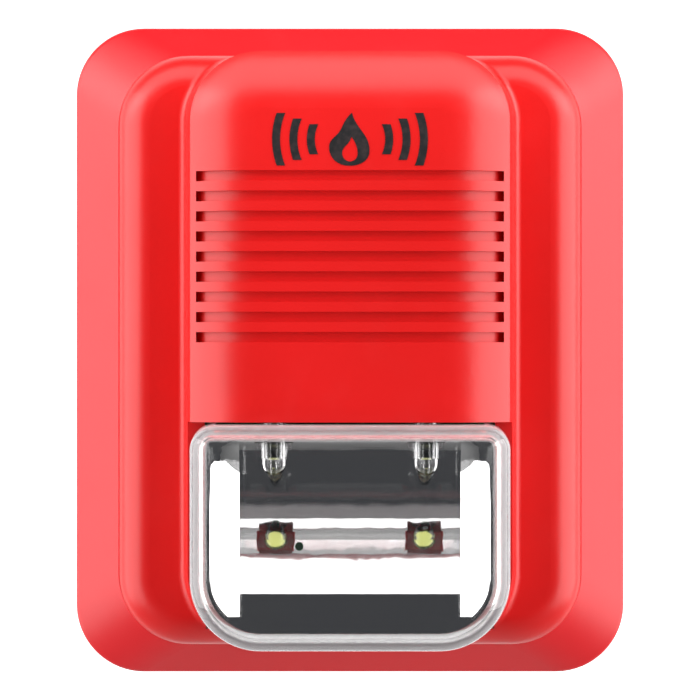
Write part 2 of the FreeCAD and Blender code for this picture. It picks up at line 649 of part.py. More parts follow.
def front_cover():
    bay = block((-FAR, FAR), (PEDESTAL_FRONT, FAR), (-FAR, COLUMN_FOOT))
    outer = head_tier(0).fuse(column_solid(0).cut(bay))
    outer = outer.makeFillet(ROOT_ROUND, root_edges(outer))
    bay_inside = block((-FAR, FAR), (PEDESTAL_FRONT - WALL, FAR), (-FAR, COLUMN_FOOT + WALL))
    inner = head_tier(WALL).fuse(column_solid(WALL).cut(bay_inside))
    mouth = even(HEAD_HALF - WALL, HEAD_TOP - WALL, HEAD_CORNER - WALL, HEAD_BACK - OVERSHOOT)
    inner = inner.fuse(plate(mouth, OVERSHOOT))
    body = outer.cut(inner)
    band = column_solid(0).cut(column_solid(GROOVE_DEPTH))
    grooves = []
    for row in range(GROOVE_COUNT):
        z = GROOVE_LOW + row * GROOVE_PITCH
        slot = block((-GROOVE_HALF_LENGTH, GROOVE_HALF_LENGTH), (HEAD_FRONT, FAR), (z, z + GROOVE_HEIGHT))
        grooves.append(band.common(slot))
    body = body.cut(grooves)
    window_half = MIRROR_HALF + MIRROR_WALL + MIRROR_CLEARANCE
    window = block((-window_half, window_half), (HEAD_BACK, PEDESTAL_FRONT + OVERSHOOT),
                   (MIRROR_BOTTOM - MIRROR_WALL - MIRROR_CLEARANCE, COLUMN_FOOT))
    body = body.cut(window)
    for side in (-1, 1):
        led_hole = Part.makeCylinder(LED_RADIUS + HOLE_CLEARANCE, 2 * WALL,
                                     at(side * LED_X, LED_DEPTH, COLUMN_FOOT - WALL / 2), UP)
        x = side * LAMP_BOARD_SCREW_X
        boss = Part.makeCylinder(SCREW_HEAD_RADIUS, LAMP_BOARD_STANDOFF + WALL / 2,
                                 at(x, LAMP_BOARD_SCREW_DEPTH, COLUMN_FOOT + WALL / 2), UP)
        boss_hole = Part.makeCylinder(SCREW_RADIUS + PILOT_CLEARANCE, LAMP_BOARD_LOW - COLUMN_FOOT,
                                      at(x, LAMP_BOARD_SCREW_DEPTH, COLUMN_FOOT + LAMP_HOLE_FLOOR), UP)
        body = body.cut(led_hole).fuse(boss).cut(boss_hole)
        for z in (-BOSS_Z, BOSS_Z):
            post = peg(side * BOSS_X, z, BOSS_RADIUS, (BOARD_FRONT, HEAD_FRONT - WALL / 2))
            body = body.fuse(post).cut(pilot(side * BOSS_X, z, BOARD_FRONT))
    ports = []
    for place in range(PORT_COUNT):
        x = (place - (PORT_COUNT - 1) / 2) * PORT_PITCH
        ports.append(block((x - PORT_WIDTH / 2, x + PORT_WIDTH / 2), (PORT_BACK, PORT_FRONT),
                           (-HEAD_TOP - OVERSHOOT, -HEAD_TOP + 2 * WALL)))
    return body.cut(ports)


# ---- Lens and seal
def lens_outline(inset, depth):
    """The lens outline, tight at the top corners and round at the bottom ones."""
    return outline(LENS_HALF - inset, LENS_BOTTOM + inset, LENS_TOP - inset,
                   LENS_BOTTOM_CORNER - inset, LENS_TOP_CORNER - inset, depth)


def lens_notch():
    """The room above the reflector where the lens stops short of the lower step."""
    half = LENS_HALF - LENS_TOP_CORNER
    return block((-half, half), (PEDESTAL_FRONT - OVERSHOOT, LENS_BACK_NOTCH),
                 (LENS_TOP - LENS_WALL - LENS_TOP_CORNER, LENS_TOP + OVERSHOOT))


def strobe_lens():
    outer = Part.makeLoft([lens_outline(0, LENS_BACK), lens_outline(LENS_DRAFT, LENS_FRONT)], True, True)
    outer = outer.makeFillet(LENS_EDGE_ROUND, flat_edges(outer, LENS_FRONT))
    inner_front = LENS_FRONT - LENS_WALL
    inner_face = lens_outline(LENS_WALL + LENS_DRAFT, inner_front)
    inner = Part.makeLoft([lens_outline(LENS_WALL, LENS_BACK), inner_face], True, True)
    inner = inner.makeFillet(LENS_EDGE_ROUND - LENS_WALL, flat_edges(inner, inner_front))
    return outer.cut(inner).cut(lens_notch())


def lens_seal():
    outer = plate(lens_outline(PART_GAP, PEDESTAL_FRONT), LENS_SEAL)
    inner = plate(lens_outline(LENS_WALL - PART_GAP, PEDESTAL_FRONT), LENS_SEAL)
    return outer.cut(inner).cut(lens_notch())


# ---- Printed sign
def printed_flame():
    """A flame with a hollow heart, drawn as two closed curves."""
    half = PRINT_FLAME_WIDTH / 2
    front = COLUMN_FRONT
    shapes = []
    for outline_points in (
            [(0.1, 1.0), (0.45, 0.72), (0.9, 0.42), (0.85, 0.15), (0.0, 0.0), (-0.85, 0.15), (-0.95, 0.45),
             (-0.55, 0.62), (-0.3, 0.8)],
            [(0.05, 0.55), (0.35, 0.32), (0.3, 0.14), (0.0, 0.08), (-0.3, 0.14), (-0.35, 0.3), (-0.1, 0.42)]):
        places = [at(x * half, front, PRINT_LOW + z * PRINT_HEIGHT) for x, z in outline_points]
        curve = Part.BSplineCurve()
        curve.interpolate(places + places[:1])
        shapes.append(plate(Part.Wire([curve.toShape()]), PRINT_FILM))
    return shapes[0].cut(shapes[1])


def printed_sign():
    """The flame between sound waves that is printed on the column."""
    middle = PRINT_LOW + PRINT_HEIGHT / 2
    span = (COLUMN_FRONT, COLUMN_FRONT + PRINT_FILM)
    solids = [printed_flame()]
    for wave in range(PRINT_ARC_COUNT):
        outer = PRINT_ARC_RADIUS + wave * PRINT_ARC_PITCH
        half_height = PRINT_ARC_HALF + wave * PRINT_ARC_GROWTH
        circle = peg(0, middle, outer, span).cut(peg(0, middle, outer - PRINT_ARC_WIDTH, span))
        for side in (-1, 1):
            solids.append(circle.common(centred(side * FAR / 2, middle, FAR, 2 * half_height, span)))
    return Part.makeCompound(solids)


# ---- Reflector
def mirror_trough(grow, half):
    """The hollow of the curved middle mirror, or its outside when grown by the wall."""
    radius = MIRROR_RADIUS + grow
    back = MIRROR_BACK - grow
    top = MIRROR_TOP + grow
    low = MIRROR_FLOOR - grow / math.sin(MIRROR_RAMP)
    ramp_depth = back + radius * (1 - math.cos(MIRROR_RAMP))
    ramp_z = low + (MIRROR_FRONT - ramp_depth) / math.tan(MIRROR_RAMP)
    centre_z = ramp_z + radius * math.sin(MIRROR_RAMP)
    top_depth = back + radius - math.sqrt(radius ** 2 - (top - centre_z) ** 2)
    over = MIRROR_FRONT + OVERSHOOT
    points = [at(-half, ramp_depth, ramp_z), at(-half, MIRROR_FRONT, low), at(-half, over, low),
              at(-half, over, top), at(-half, top_depth, top)]
    edges = [Part.LineSegment(start, end).toShape() for start, end in zip(points, points[1:])]
    edges.append(Part.Arc(points[-1], at(-half, back, centre_z), points[0]).toShape())
    return Part.Face(Part.Wire(edges)).extrude(RIGHT * 2 * half)


def mirror_wings(grow):
    """The hollow between the two slanted side mirrors, which curl forward near the top."""
    trough = MIRROR_TROUGH_HALF + grow
    rim = MIRROR_HALF + grow
    low = MIRROR_BOTTOM - grow
    high = MIRROR_TOP + grow
    over = MIRROR_FRONT + OVERSHOOT
    curl_start = high - MIRROR_WING_TURN * math.sin(MIRROR_RAMP)
    sections = []
    for step in range(MIRROR_WING_STEPS + 1):
        z = low + (high - low) * step / MIRROR_WING_STEPS
        climb = max(0, z - curl_start)
        curl = MIRROR_WING_TURN - math.sqrt(MIRROR_WING_TURN ** 2 - climb ** 2)
        back = MIRROR_FRONT - grow - max(MIRROR_WING_RISE - curl, PART_GAP)
        corners = [(-trough, back), (trough, back), (rim, MIRROR_FRONT), (rim, over), (-rim, over),
                   (-rim, MIRROR_FRONT)]
        sections.append(Part.makePolygon([at(x, depth, z) for x, depth in corners + corners[:1]]))
    prism = Part.makeLoft(sections, True, False)
    frame = plate(outline(rim, low, high, MIRROR_BOTTOM_CORNER + grow, MIRROR_TOP_CORNER + grow, MIRROR_BACK),
                  over - MIRROR_BACK)
    return prism.common(frame)


def led_block(x, width, low, high):
    """A square column around one light."""
    return block((x - width / 2, x + width / 2), (LED_DEPTH - width / 2, LED_DEPTH + width / 2), (low, high))


def mirror_slot():
    """The long slot with pointed ends under the middle mirror."""
    z = (MIRROR_FLOOR + MIRROR_BOTTOM) / 2
    ends = [at(side * MIRROR_SLOT_HALF, MIRROR_FRONT - MIRROR_WALL - OVERSHOOT, z) for side in (-1, 1)]
    rise = UP * (MIRROR_SLOT_HEIGHT / 2)
    middle = (ends[0] + ends[1]) / 2
    upper = Part.Arc(ends[0], middle + rise, ends[1]).toShape()
    lower = Part.Arc(ends[1], middle - rise, ends[0]).toShape()
    return Part.Face(Part.Wire([upper, lower])).extrude(OUT * (MIRROR_WALL + 2 * OVERSHOOT))


def strobe_reflector():
    land = plate(outline(MIRROR_HALF + MIRROR_WALL, MIRROR_BOTTOM, MIRROR_TOP + MIRROR_WALL,
                         MIRROR_BOTTOM_CORNER + MIRROR_WALL, MIRROR_TOP_CORNER + MIRROR_WALL,
                         MIRROR_FRONT - MIRROR_WALL), MIRROR_WALL)
    outside = mirror_trough(MIRROR_WALL, MIRROR_TROUGH_HALF + MIRROR_WALL)
    outside = outside.fuse([mirror_wings(MIRROR_WALL), land])
    for side in (-1, 1):
        leg = peg(side * MIRROR_LEG_X, MIRROR_LEG_Z, MIRROR_LEG_RADIUS, (BOARD_FRONT, MIRROR_FRONT))
        outside = outside.fuse(leg)
    wings = mirror_wings(0).cut(block((-FAR, FAR), (0, FAR), (-FAR, MIRROR_FLOOR)))
    body = outside.cut(mirror_trough(0, MIRROR_TROUGH_HALF)).cut(wings)
    front = block((-FAR, FAR), (MIRROR_FRONT, FAR), (-FAR, FAR))
    lens_room = block((-FAR, FAR), (LENS_BACK_NOTCH - MIRROR_LENS_GAP, FAR),
                      (LENS_TOP - LENS_WALL - LENS_DRAFT - MIRROR_LENS_GAP, FAR))
    body = body.cut([front, mirror_slot(), lens_room])
    hole_z = LENS_TOP - MIRROR_HOLE_DROP
    hole = peg(-MIRROR_HOLE_X, hole_z, MIRROR_HOLE_RADIUS, (BOARD_FRONT, MIRROR_FRONT))
    body = body.cut(hole)
    for side in (-1, 1):
        notch = led_block(side * LED_X, LED_HOLDER_WIDTH + 2 * LED_NOTCH_CLEARANCE,
                          MIRROR_TOP - MIRROR_WALL, LENS_TOP)
        body = body.cut(notch).cut(pilot(side * MIRROR_LEG_X, MIRROR_LEG_Z, BOARD_FRONT))
    return body


# ---- Strobe lights
def led_leads():
    """Two legs and a chip cup in each light."""
    cup_z = LED_BASE - LED_CUP_DROP
    half_cup = LED_LEAD_SPACING / 2 - LED_LEAD
    solids = []
    for side in (-1, 1):
        for leg in (-1, 1):
            x = side * LED_X + leg * LED_LEAD_SPACING / 2
            solids.append(block((x - LED_LEAD / 2, x + LED_LEAD / 2),
                                (LED_DEPTH - LED_LEAD / 2, LED_DEPTH + LED_LEAD / 2),
                                (cup_z, LAMP_BOARD_HIGH + LED_LEAD)))
        solids.append(block((side * LED_X - half_cup, side * LED_X + half_cup),
                            (LED_DEPTH - LED_CUP / 2, LED_DEPTH + LED_CUP / 2),
                            (cup_z - LED_CUP_HEIGHT, cup_z)))
    return Part.makeCompound(solids)


def led_phosphors():
    """The yellow disc under each chip cup."""
    top = LED_BASE - LED_CUP_DROP - LED_CUP_HEIGHT
    low = top - LED_PHOSPHOR_THICKNESS
    return Part.makeCompound([Part.makeCylinder(LED_PHOSPHOR_RADIUS, LED_PHOSPHOR_THICKNESS,
                                                at(side * LED_X, LED_DEPTH, low), UP) for side in (-1, 1)])


def led(side):
    """A clear bullet-shaped light that points down."""
    straight = LED_LENGTH - LED_RADIUS
    foot = at(side * LED_X, LED_DEPTH, LED_BASE - straight)
    body = Part.makeCylinder(LED_RADIUS, straight, foot, UP).fuse(Part.makeSphere(LED_RADIUS, foot))
    return body.cut([led_leads(), led_phosphors()])


def led_holder(side):
    """The clear collar that steadies a light under the column's foot."""
    body = led_block(side * LED_X, LED_HOLDER_WIDTH, LENS_TOP - LED_HOLDER_HEIGHT, LENS_TOP)
    bore = Part.makeCylinder(LED_RADIUS + LED_HOLDER_CLEARANCE, FAR,
                             at(side * LED_X, LED_DEPTH, LENS_TOP - FAR / 2), UP)
    return body.cut(bore)


def lamp_board():
    board = block((-LAMP_BOARD_HALF, LAMP_BOARD_HALF), (LAMP_BOARD_BACK, LAMP_BOARD_FRONT),
                  (LAMP_BOARD_LOW, LAMP_BOARD_HIGH))
    holes = []
    for side in (-1, 1):
        holes.append(Part.makeCylinder(SCREW_RADIUS + HOLE_CLEARANCE, FAR,
                                       at(side * LAMP_BOARD_SCREW_X, LAMP_BOARD_SCREW_DEPTH, -FAR / 2), UP))
        for leg in (-1, 1):
            x = side * LED_X + leg * LED_LEAD_SPACING / 2
            holes.append(Part.makeCylinder(LED_LEAD, FAR, at(x, LED_DEPTH, -FAR / 2), UP))
            lead_x = PLUG_X + leg * LEAD_SPACING / 2
            holes.append(Part.makeCylinder(LEAD_RADIUS + PART_GAP, FAR,
                                           at(lead_x, LAMP_LEAD_DEPTH, -FAR / 2), UP))
    return board.cut(holes)


def lamp_board_screws():
    solids = []
    for side in (-1, 1):
        x = side * LAMP_BOARD_SCREW_X
        tip = COLUMN_FOOT + WALL / 2
        crown = LAMP_BOARD_HIGH + SCREW_HEAD_HEIGHT
        shank = Part.makeCylinder(SCREW_RADIUS, LAMP_BOARD_HIGH - tip, at(x, LAMP_BOARD_SCREW_DEPTH, tip), UP)
        head = Part.makeCylinder(SCREW_HEAD_RADIUS, SCREW_HEAD_HEIGHT,
                                 at(x, LAMP_BOARD_SCREW_DEPTH, LAMP_BOARD_HIGH), UP)
        slot = block((x - SCREW_SLOT_WIDTH / 2, x + SCREW_SLOT_WIDTH / 2),
                     (LAMP_BOARD_SCREW_DEPTH - SCREW_HEAD_RADIUS, LAMP_BOARD_SCREW_DEPTH + SCREW_HEAD_RADIUS),
                     (crown - SCREW_SLOT_DEPTH, crown))
        solids.append(shank.fuse(head).cut(slot))
    return Part.makeCompound(solids)


# ---- Main board and what is on it
def main_circuit_board():
    board = plate(even(BOARD_HALF, BOARD_TOP, BOARD_CORNER, BOARD_BACK), BOARD_THICKNESS)
    places = [(sx * BOSS_X, sz * BOSS_Z) for sx in (-1, 1) for sz in (-1, 1)]
    places += [(side * MIRROR_LEG_X, MIRROR_LEG_Z) for side in (-1, 1)]
    places += [(side * HORN_FOOT_X, HORN_Z) for side in (-1, 1)]
    return board.cut([peg(x, z, SCREW_RADIUS + HOLE_CLEARANCE, (0, FAR)) for x, z in places])


def board_screws():
    return Part.makeCompound([board_screw(sx * BOSS_X, sz * BOSS_Z) for sx in (-1, 1) for sz in (-1, 1)])


def reflector_screws():
    return Part.makeCompound([board_screw(side * MIRROR_LEG_X, MIRROR_LEG_Z) for side in (-1, 1)])


def horn_screws():
    return Part.makeCompound([board_screw(side * HORN_FOOT_X, HORN_Z) for side in (-1, 1)])


def contact_pins():
    """Blades that plug into the forks on the base."""
    pins = []
    for x in TERMINAL_X:
        blade = centred(x, FORK_Z, BLADE_THICKNESS, BLADE_WIDTH, (BLADE_TIP, BOARD_BACK))
        foot = centred(x, FORK_Z, BLADE_THICKNESS + 2 * BLADE_TAB, BLADE_WIDTH,
                       (BOARD_BACK - BLADE_THICKNESS, BOARD_BACK))
        pins.append(blade.fuse(foot))
    return Part.makeCompound(pins)


def slider_x(place):
    """The middle of one switch slider."""
    return SWITCH_X + (place - 0.5) * SWITCH_PITCH


def dip_switch_housing():
    front = BOARD_BACK
    back = BOARD_BACK - SWITCH_HEIGHT
    body = centred(SWITCH_X, SWITCH_Z, SWITCH_WIDTH, SWITCH_LENGTH, (back, front))
    run = SLIDER_LENGTH + SLIDER_TRAVEL + 2 * SLIDER_GAP
    for place in (0, 1):
        well = centred(slider_x(place), SWITCH_Z, SLIDER_WIDTH + 2 * SLIDER_GAP, run,
                       (back - OVERSHOOT, back + SLIDER_HEIGHT - SLIDER_PROUD + SLIDER_GAP))
        body = body.cut(well)
    return body


def dip_slider(place):
    back = BOARD_BACK - SWITCH_HEIGHT - SLIDER_PROUD
    z = SWITCH_Z - SLIDER_TRAVEL / 2
    return centred(slider_x(place), z, SLIDER_WIDTH, SLIDER_LENGTH, (back, back + SLIDER_HEIGHT))


def lamp_socket():
    """The open-topped header that takes the strobe lead's plug."""
    outer = centred(PLUG_X, PLUG_Z, PLUG_WIDTH + 2 * SOCKET_WALL, PLUG_LENGTH + 2 * SOCKET_WALL,
                    (BOARD_FRONT, BOARD_FRONT + PLUG_HEIGHT))
    inner = centred(PLUG_X, PLUG_Z, PLUG_WIDTH + 2 * PART_GAP, PLUG_LENGTH + 2 * PART_GAP,
                    (BOARD_FRONT + SOCKET_WALL, FAR))
    return outer.cut(inner)


def lamp_plug():
    front = BOARD_FRONT + SOCKET_WALL + PART_GAP + PLUG_HEIGHT
    body = centred(PLUG_X, PLUG_Z, PLUG_WIDTH, PLUG_LENGTH, (front - PLUG_HEIGHT, front))
    for side in (-1, 1):
        body = body.cut(peg(PLUG_X + side * LEAD_SPACING / 2, PLUG_Z, LEAD_RADIUS + PART_GAP,
                            (front - LEAD_OUT, FAR)))
    return body


def lamp_lead(side):
    """One insulated lead from the plug to the lamp board."""
    x = PLUG_X + side * LEAD_SPACING / 2
    front = BOARD_FRONT + SOCKET_WALL + PART_GAP + PLUG_HEIGHT
    inside = front - LEAD_OUT + PART_GAP
    points = [at(x, inside, PLUG_Z), at(x, LAMP_LEAD_DEPTH, PLUG_Z), at(x, LAMP_LEAD_DEPTH, LAMP_BOARD_LOW)]
    return wire_run(points, LEAD_RADIUS, min(LEAD_BEND, LAMP_LEAD_DEPTH - inside - PART_GAP))


def capacitor():
    can = peg(CAN_X, PLUG_Z, CAN_RADIUS, (BOARD_FRONT, BOARD_FRONT + CAN_HEIGHT))
    return can.makeFillet(CAN_EDGE_ROUND, flat_edges(can, BOARD_FRONT + CAN_HEIGHT))


def inductor_core():
    back = BOARD_FRONT
    front = BOARD_FRONT + COIL_HEIGHT
    points = [(0, back), (COIL_RADIUS, back), (COIL_RADIUS, back + COIL_FLANGE),
              (COIL_CORE_RADIUS, back + COIL_FLANGE), (COIL_CORE_RADIUS, front - COIL_FLANGE),
              (COIL_RADIUS, front - COIL_FLANGE), (COIL_RADIUS, front), (0, front)]
    return turned(points, COIL_X, PLUG_Z)


def inductor_winding():
    back = BOARD_FRONT + COIL_FLANGE
    front = BOARD_FRONT + COIL_HEIGHT - COIL_FLANGE
    outer = COIL_RADIUS - COIL_FLANGE / 2
    points = [(COIL_CORE_RADIUS, back), (outer, back), (outer, front), (COIL_CORE_RADIUS, front)]
    return turned(points, COIL_X, PLUG_Z)


def driver_chip():
    back = BOARD_FRONT + LEG_WIDTH
    body = centred(CHIP_X, CHIP_Z, CHIP_LENGTH, CHIP_WIDTH, (back, back + CHIP_HEIGHT))
    legs = []
    for side in (-1, 1):
        for leg in range(CHIP_LEGS):
            x = CHIP_X + (leg - (CHIP_LEGS - 1) / 2) * CHIP_PITCH
            z = CHIP_Z + side * (CHIP_WIDTH / 2 + LEG_WIDTH / 2)
            legs.append(centred(x, z, LEG_WIDTH, LEG_WIDTH, (BOARD_FRONT, back + CHIP_HEIGHT / 2)))
    return body.fuse(legs)


def transistor():
    back = BOARD_FRONT + LEAD_OUT
    body = peg(TRANSISTOR_X, CHIP_Z, TRANSISTOR_RADIUS, (back, back + TRANSISTOR_HEIGHT))
    flat = block((-FAR, FAR), (0, FAR), (CHIP_Z + TRANSISTOR_RADIUS / 2, FAR))
    places = [TRANSISTOR_X + leg * LED_LEAD_SPACING / 2 for leg in (-1, 0, 1)]
    legs = [centred(x, CHIP_Z, LEG_WIDTH, LEG_WIDTH, (BOARD_FRONT, back)) for x in places]
    return body.cut(flat).fuse(legs)


def axial_part(x, z, radius, length):
    """A small part that lies on the board between its two bent wires."""
    depth = BOARD_FRONT + radius + PART_GAP
    body = Part.makeCylinder(radius, length, at(x, depth, z - length / 2), UP)
    reach = length / 2 + LEAD_OUT
    points = [at(x, BOARD_FRONT, z - reach), at(x, depth, z - reach),
              at(x, depth, z + reach), at(x, BOARD_FRONT, z + reach)]
    wire = wire_run(points, WIRE_RADIUS, RESISTOR_RADIUS / 2)
    return body.fuse(wire)


def resistors():
    places = [RESISTOR_X - RESISTOR_STAGGER * (i % 2) for i in range(RESISTOR_COUNT)]
    rows = [AXIAL_Z - AXIAL_PITCH * (i - (RESISTOR_COUNT - 1) / 2) for i in range(RESISTOR_COUNT)]
    return Part.makeCompound([axial_part(x, z, RESISTOR_RADIUS, RESISTOR_LENGTH)
                              for x, z in zip(places, rows)])


def diodes():
    rows = [AXIAL_Z - AXIAL_PITCH * (i - (DIODE_COUNT - 1) / 2) for i in range(DIODE_COUNT)]
    return Part.makeCompound([axial_part(DIODE_X, z, RESISTOR_RADIUS, RESISTOR_LENGTH) for z in rows])


# ---- Horn
def horn_body():
    chamber = DIAPHRAGM_RADIUS + PART_GAP
    back = BOARD_FRONT
    shelf = DIAPHRAGM_DEPTH + DIAPHRAGM_THICKNESS + HORN_GASKET_THICKNESS
    points = [
        (chamber, back), (HORN_CAN_RADIUS, back), (HORN_CAN_RADIUS, HORN_THROAT_DEPTH),
        (HORN_THROAT_RADIUS + HORN_WALL, HORN_THROAT_DEPTH + HORN_WALL),
        (HORN_MOUTH_RADIUS + HORN_WALL, HORN_FRONT - HORN_WALL), (HORN_RADIUS, HORN_FRONT - HORN_WALL),
        (HORN_RADIUS, HORN_FRONT), (HORN_MOUTH_RADIUS, HORN_FRONT), (HORN_THROAT_RADIUS, HORN_THROAT_DEPTH),
        (HORN_THROAT_RADIUS, shelf), (chamber, shelf),
    ]
    body = turned(points, 0, HORN_Z)
    for side in (-1, 1):
        x = side * HORN_FOOT_X
        foot = peg(x, HORN_Z, HORN_FOOT_RADIUS, (BOARD_FRONT, shelf))
        inside = peg(0, HORN_Z, chamber, (0, FAR))
        body = body.fuse(foot.cut(inside)).cut(pilot(x, HORN_Z, BOARD_FRONT))
    return body


def disc_at(radius, depth, thickness):
    """A thin disc on the horn's axis."""
    return peg(0, HORN_Z, radius, (depth, depth + thickness))


def horn_diaphragm():
    return disc_at(DIAPHRAGM_RADIUS, DIAPHRAGM_DEPTH, DIAPHRAGM_THICKNESS)


def piezo_disc():
    return disc_at(PIEZO_RADIUS, DIAPHRAGM_DEPTH - PIEZO_THICKNESS, PIEZO_THICKNESS)


def horn_gasket():
    depth = DIAPHRAGM_DEPTH + DIAPHRAGM_THICKNESS
    outer = disc_at(DIAPHRAGM_RADIUS, depth, HORN_GASKET_THICKNESS)
    return outer.cut(disc_at(DIAPHRAGM_RADIUS - HORN_GASKET_WIDTH, depth, HORN_GASKET_THICKNESS))


def horn_back_cap():
    """The ring that clamps the diaphragm from behind."""
    depth = DIAPHRAGM_DEPTH - PIEZO_THICKNESS - HORN_CAP_THICKNESS
    cap = disc_at(DIAPHRAGM_RADIUS, depth, DIAPHRAGM_DEPTH - depth)
    recess = disc_at(PIEZO_RADIUS + HOLE_CLEARANCE, DIAPHRAGM_DEPTH - PIEZO_THICKNESS - PART_GAP, FAR)
    return cap.cut(recess).cut(disc_at(HORN_CAP_HOLE, 0, FAR))


def horn_seal():
    """Foam ring between the horn's mouth and the inside of the column."""
    outer = disc_at(HORN_RADIUS, HORN_FRONT, HORN_SEAL_THICKNESS)
    return outer.cut(disc_at(HORN_RADIUS - HORN_SEAL_WIDTH, HORN_FRONT, HORN_SEAL_THICKNESS))


def piezo_leads():
    span = (BOARD_FRONT, DIAPHRAGM_DEPTH - PIEZO_THICKNESS)
    return Part.makeCompound([peg(side * PIEZO_LEAD_X, HORN_Z, PIEZO_LEAD_RADIUS, span) for side in (-1, 1)])


# ---- Everything, by node name
def all_nodes():
    nodes = {
        "base_plate": base_plate(),
        "terminal_housing": terminal_housing(),
        "terminal_block_screws": terminal_block_screws(),
        "contact_clips": contact_clips(),
        "front_cover": front_cover(),
        "strobe_lens": strobe_lens(),
        "lens_seal": lens_seal(),
        "printed_sign": printed_sign(),
        "strobe_reflector": strobe_reflector(),
        "reflector_screws": reflector_screws(),
        "led_left": led(-1),
        "led_right": led(1),
        "led_leads": led_leads(),
        "led_phosphors": led_phosphors(),
        "led_holder_left": led_holder(-1),
        "led_holder_right": led_holder(1),
        "lamp_board": lamp_board(),
        "lamp_board_screws": lamp_board_screws(),
        "lamp_lead_red": lamp_lead(-1),
        "lamp_lead_black": lamp_lead(1),
        "lamp_plug": lamp_plug(),
        "lamp_socket": lamp_socket(),
        "main_circuit_board": main_circuit_board(),
        "board_screws": board_screws(),
        "contact_pins": contact_pins(),
        "dip_switch_housing": dip_switch_housing(),
        "dip_slider_1": dip_slider(0),
        "dip_slider_2": dip_slider(1),
        "capacitor": capacitor(),
        "inductor_core": inductor_core(),
        "inductor_winding": inductor_winding(),
        "driver_chip": driver_chip(),
        "transistor": transistor(),
        "resistors": resistors(),
        "diodes": diodes(),
        "horn_body": horn_body(),
        "horn_screws": horn_screws(),
        "horn_diaphragm": horn_diaphragm(),
        "piezo_disc": piezo_disc(),
        "piezo_leads": piezo_leads(),
        "horn_gasket": horn_gasket(),
        "horn_back_cap": horn_back_cap(),
        "horn_seal": horn_seal(),
    }
    for number, x in enumerate(TERMINAL_X, start=1):
        nodes["terminal_screw_%d" % number] = terminal_screw(x)
        nodes["wire_clamp_%d" % number] = wire_clamp(x)
    return nodes


os.makedirs("parts", exist_ok=True)
for name, shape in all_nodes().items():
    shape.exportStep("parts/%s.step" % name)
    print(name, "solids", len(shape.Solids), "volume", round(shape.Volume, 1), "valid", shape.isValid())
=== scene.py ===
# %% [markdown]
# # A wall-mounted horn strobe
# This lesson dresses a fire alarm horn strobe. Its shells, screws, boards and horn come from a
# CAD frame at real size, and nothing here moves or resizes them. The lesson adds what CAD leaves
# out: moulded plastic, clear polycarbonate, a metallised mirror, printing, light and a camera.

# %% Load the frame
import math

import bpy
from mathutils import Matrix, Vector

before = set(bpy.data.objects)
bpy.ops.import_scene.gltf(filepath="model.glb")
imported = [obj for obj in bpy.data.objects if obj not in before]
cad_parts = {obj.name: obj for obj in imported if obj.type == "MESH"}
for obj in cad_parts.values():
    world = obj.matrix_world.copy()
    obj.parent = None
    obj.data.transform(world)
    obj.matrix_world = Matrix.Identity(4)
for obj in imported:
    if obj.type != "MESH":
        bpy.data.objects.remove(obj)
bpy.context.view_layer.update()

MM = 0.001

# %% [markdown]
# ## A small language for shaders
# A material is a formula over the surface: mix this colour with that one where a noise is high.
# Wiring such a formula by hand hides it, so a class wraps a socket and lets Python's own
# operators add the Math nodes. Colours go through Mix nodes, because Math turns them grey.


# %% Sockets that can be added and multiplied
class Wire:
    """One output socket, with the arithmetic that adds Math nodes."""

    def __init__(self, shop, socket):
        self.shop, self.socket = shop, socket

    def math(self, operation, *others, swap=False, clamp=False):
        terms = [self, *others]
        if swap:
            terms.reverse()
        inputs = dict(enumerate(terms))
        return self.shop.add("ShaderNodeMath", {"operation": operation, "use_clamp": clamp}, inputs)

    def __add__(self, other):
        return self.math("ADD", other)

    def __sub__(self, other):
        return self.math("SUBTRACT", other)

    def __rsub__(self, other):
        return self.math("SUBTRACT", other, swap=True)

    def __mul__(self, other):
        return self.math("MULTIPLY", other)

    __radd__, __rmul__ = __add__, __mul__

    def clamped(self):
        return self.math("ADD", 0.0, clamp=True)


